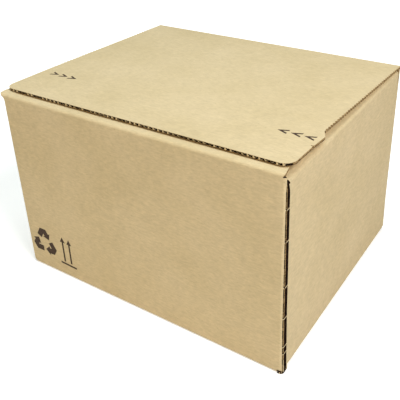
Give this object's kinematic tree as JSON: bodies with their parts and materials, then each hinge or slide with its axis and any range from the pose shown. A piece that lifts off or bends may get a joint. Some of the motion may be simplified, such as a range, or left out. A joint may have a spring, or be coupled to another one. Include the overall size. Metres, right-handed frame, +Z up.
{
  "type": "closed cardboard box",
  "caption": "Closed corrugated cardboard carton with a full-size hinged lid over a folded-in front flap, a tear strip across the lid and a perforated front corner.",
  "frame": {"origin": "on the floor under the middle of the whole outline, lid included", "axes": "+Z up; the front wall with the lid's raw edge faces -Y; +X to the right along the front"},
  "size_m": [0.3918, 0.318, 0.2551],
  "materials": {
    "corrugated_board": "matte",
    "hot_melt": "satin",
    "tape_film": "satin"
  },
  "bodies": {
    "root": {"box_blank": "corrugated_board", "closure_glue": "hot_melt", "tear_tape": "tape_film", "seam_glue": "hot_melt", "bottom_flap_glue": "hot_melt"}
  },
  "joints": []
}
